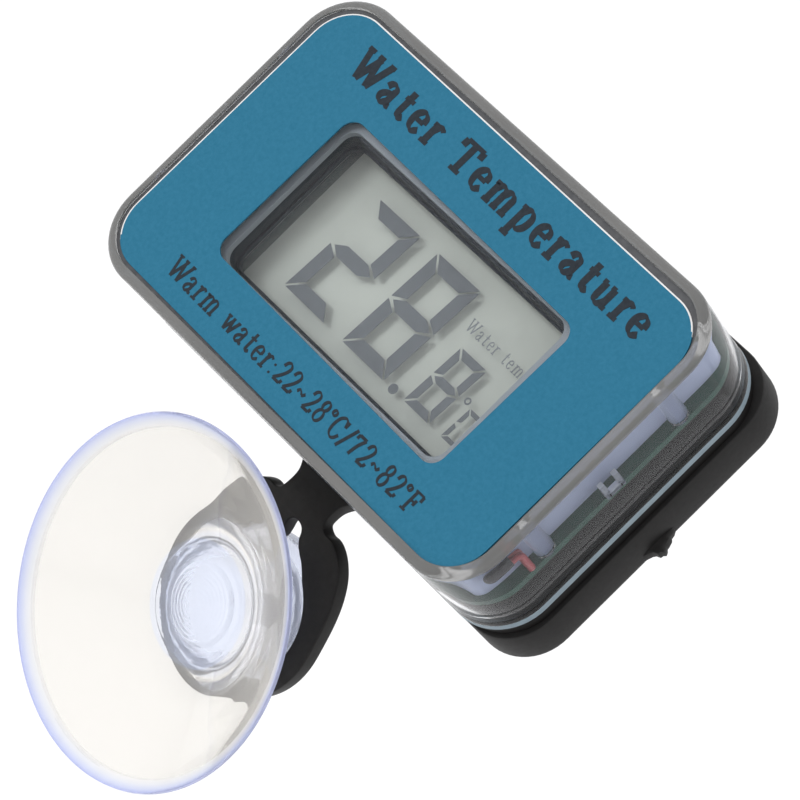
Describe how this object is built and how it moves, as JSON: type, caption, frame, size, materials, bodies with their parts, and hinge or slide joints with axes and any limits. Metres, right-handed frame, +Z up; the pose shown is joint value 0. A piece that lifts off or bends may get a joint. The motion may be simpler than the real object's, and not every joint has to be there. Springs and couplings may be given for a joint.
{
  "type": "digital aquarium thermometer",
  "caption": "Small submersible LCD aquarium thermometer: clear case with blue face label, black rubber rear cover with a flexible ring bracket, and a clear suction cup.",
  "frame": {"origin": "centre of the suction cup's rim, in the plane of the glass it sticks to", "axes": "-Y out of the cup's mouth, towards the glass; +X left to right along the display; +Z up, the case is above the cup and its display leans back 27.5 degrees"},
  "size_m": [0.0565, 0.0324, 0.0672],
  "materials": {
    "clear_plastic": "clear moulded polystyrene, polished",
    "label_blue": "printed satin sheet",
    "white_plastic": "moulded",
    "dark_foam": "matte",
    "polariser": "antiglare film",
    "lcd_glass": "polished",
    "lcd_ink": "flat",
    "reflector": "satin grey-green",
    "elastomer": "matte",
    "board_green": "solder mask",
    "steel": "zinc plated",
    "potting": "epoxy",
    "chip_black": "ceramic",
    "chip_tan": "ceramic",
    "sensor_epoxy": "epoxy",
    "red_insulation": "PVC",
    "black_plastic": "moulded",
    "black_rubber": "matte",
    "clear_rubber": "clear soft PVC, glossy"
  },
  "bodies": {
    "cup": {"suction_cup": "clear_rubber"},
    "bracket": {"bracket_ring": "black_rubber"},
    "cover": {"rear_cover": "black_rubber", "cover_gasket": "black_rubber"},
    "module": {"lcd_frame": "white_plastic", "lcd_mask": "dark_foam", "lcd_polariser": "polariser", "lcd_front_glass": "lcd_glass", "lcd_segments": "lcd_ink", "lcd_rear_glass": "lcd_glass", "lcd_reflector": "reflector", "zebra_strip": "elastomer", "circuit_board": "board_green", "board_screws": "steel", "chip_blob": "potting", "crystal": "steel", "resistors": "chip_black", "capacitors": "chip_tan", "thermistor": "sensor_epoxy", "thermistor_leads": "red_insulation", "battery_holder": "black_plastic", "coin_cells": "steel", "battery_contacts": "steel", "contact_bridge": "steel"},
    "case": {"front_case": "clear_plastic", "face_label": "label_blue"}
  },
  "joints": [
    {"name": "cup_swivel", "type": "hinge", "parent": "cup", "child": "bracket", "pos_m": [0, 0.01335, 0], "axis": [0, -1, 0], "continuous": true},
    {"name": "bracket_flex", "type": "hinge", "parent": "bracket", "child": "cover", "pos_m": [0, 0.01335, 0.0112], "axis": [-1, 0, 0], "range_deg": [-8, 45], "stiffness_Nm_per_rad": 0.12},
    {"name": "module_lift", "type": "slide", "parent": "cover", "child": "module", "axis": [0, -0.887, 0.4617], "range_m": [0, 0.02]},
    {"name": "case_lift", "type": "slide", "parent": "module", "child": "case", "axis": [0, -0.887, 0.4617], "range_m": [0, 0.02]}
  ]
}
